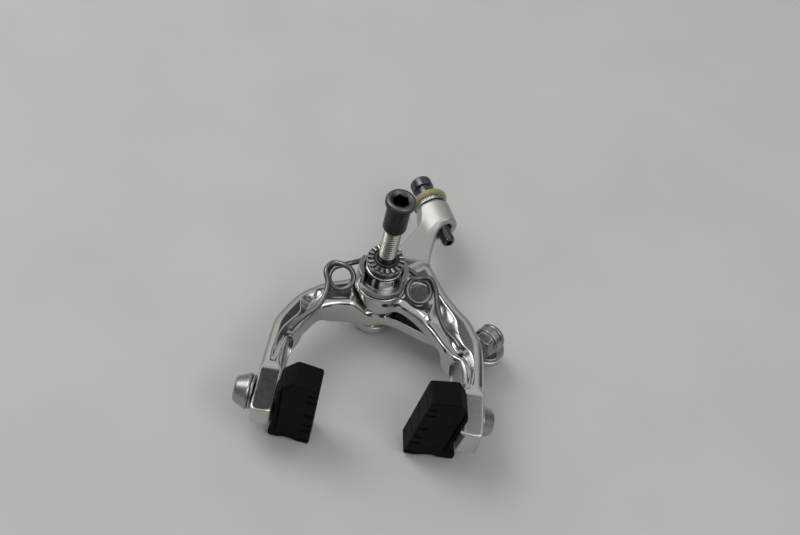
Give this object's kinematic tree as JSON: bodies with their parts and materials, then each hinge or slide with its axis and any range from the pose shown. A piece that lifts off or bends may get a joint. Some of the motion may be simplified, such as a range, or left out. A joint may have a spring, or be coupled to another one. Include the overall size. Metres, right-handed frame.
{
  "type": "caliper brake",
  "caption": "Single-pivot side-pull caliper brake: two curved aluminium arms with rubber blocks, a return spring, a barrel adjuster, a cable anchor and a recessed mounting bolt.",
  "frame": {"origin": "on the pivot bolt's axis, in the plane of the toothed washer that meets the fork crown", "axes": "+Z along the pivot bolt towards the crown, +Y up the brake to the barrel adjuster, +X towards the cable side"},
  "size_m": [0.0915, 0.1159, 0.0662],
  "materials": {
    "polished_alloy": "polished",
    "chrome": "bright",
    "bolt_steel": "zinc plated thread",
    "sleeve_steel": "dark plating, rubbed",
    "washer_steel": "dull",
    "spring_steel": "grey wire",
    "satin_steel": "satin grey",
    "holder_alloy": "black",
    "rubber": "matt black",
    "o_ring": "aged cream"
  },
  "bodies": {
    "bolt": {"pivot_bolt": "bolt_steel", "spring_block": "chrome", "crown_washer": "washer_steel", "sleeve_nut": "sleeve_steel", "rear_washer": "washer_steel", "mid_washer": "washer_steel", "front_washer": "chrome", "adjust_nut": "chrome", "cap_nut": "chrome", "return_spring": "spring_steel"},
    "rear_arm_body": {"rear_arm": "polished_alloy", "shoe_rubber_right": "rubber", "shoe_holder_right": "holder_alloy", "shoe_washer_right": "satin_steel", "shoe_nut_right": "satin_steel"},
    "front_arm_body": {"front_arm": "polished_alloy", "shoe_rubber_left": "rubber", "shoe_holder_left": "holder_alloy", "shoe_washer_left": "satin_steel", "shoe_nut_left": "satin_steel"},
    "barrel": {"adjuster_barrel": "satin_steel"},
    "barrel_nut": {"adjuster_nut": "chrome", "adjuster_o_ring": "o_ring"},
    "anchor": {"anchor_body": "satin_steel", "anchor_washer": "satin_steel", "anchor_clamp_nut": "chrome"}
  },
  "joints": [
    {"name": "rear_arm_pivot", "type": "hinge", "parent": "bolt", "child": "rear_arm_body", "pos_m": [0, 0, -0.016], "axis": [0, 0, 1], "range_deg": [-9, 0], "stiffness_Nm_per_rad": 1.2, "springref_deg": 17.19, "deforming": ["return_spring"]},
    {"name": "front_arm_pivot", "type": "hinge", "parent": "bolt", "child": "front_arm_body", "pos_m": [0, 0, -0.016], "axis": [0, 0, 1], "range_deg": [0, 9], "stiffness_Nm_per_rad": 1.2, "springref_deg": -17.19, "deforming": ["return_spring"]},
    {"name": "adjuster_turn", "type": "hinge", "parent": "rear_arm_body", "child": "barrel_nut", "pos_m": [0.0245, 0.028, -0.0185], "axis": [-0.4131, 0.9107, 0], "range_deg": [0, 1440]},
    {"name": "barrel_lift", "type": "slide", "parent": "rear_arm_body", "child": "barrel", "axis": [-0.4131, 0.9107, 0], "range_m": [0, 0.004]},
    {"name": "anchor_swivel", "type": "hinge", "parent": "front_arm_body", "child": "anchor", "pos_m": [0.0415, -0.0107, -0.028], "axis": [0, 0, 1], "range_deg": [-40, 30]}
  ],
  "couplings": [
    {"joint": "adjuster_turn", "follows": "barrel_lift", "rad_per_m": 6283}
  ]
}
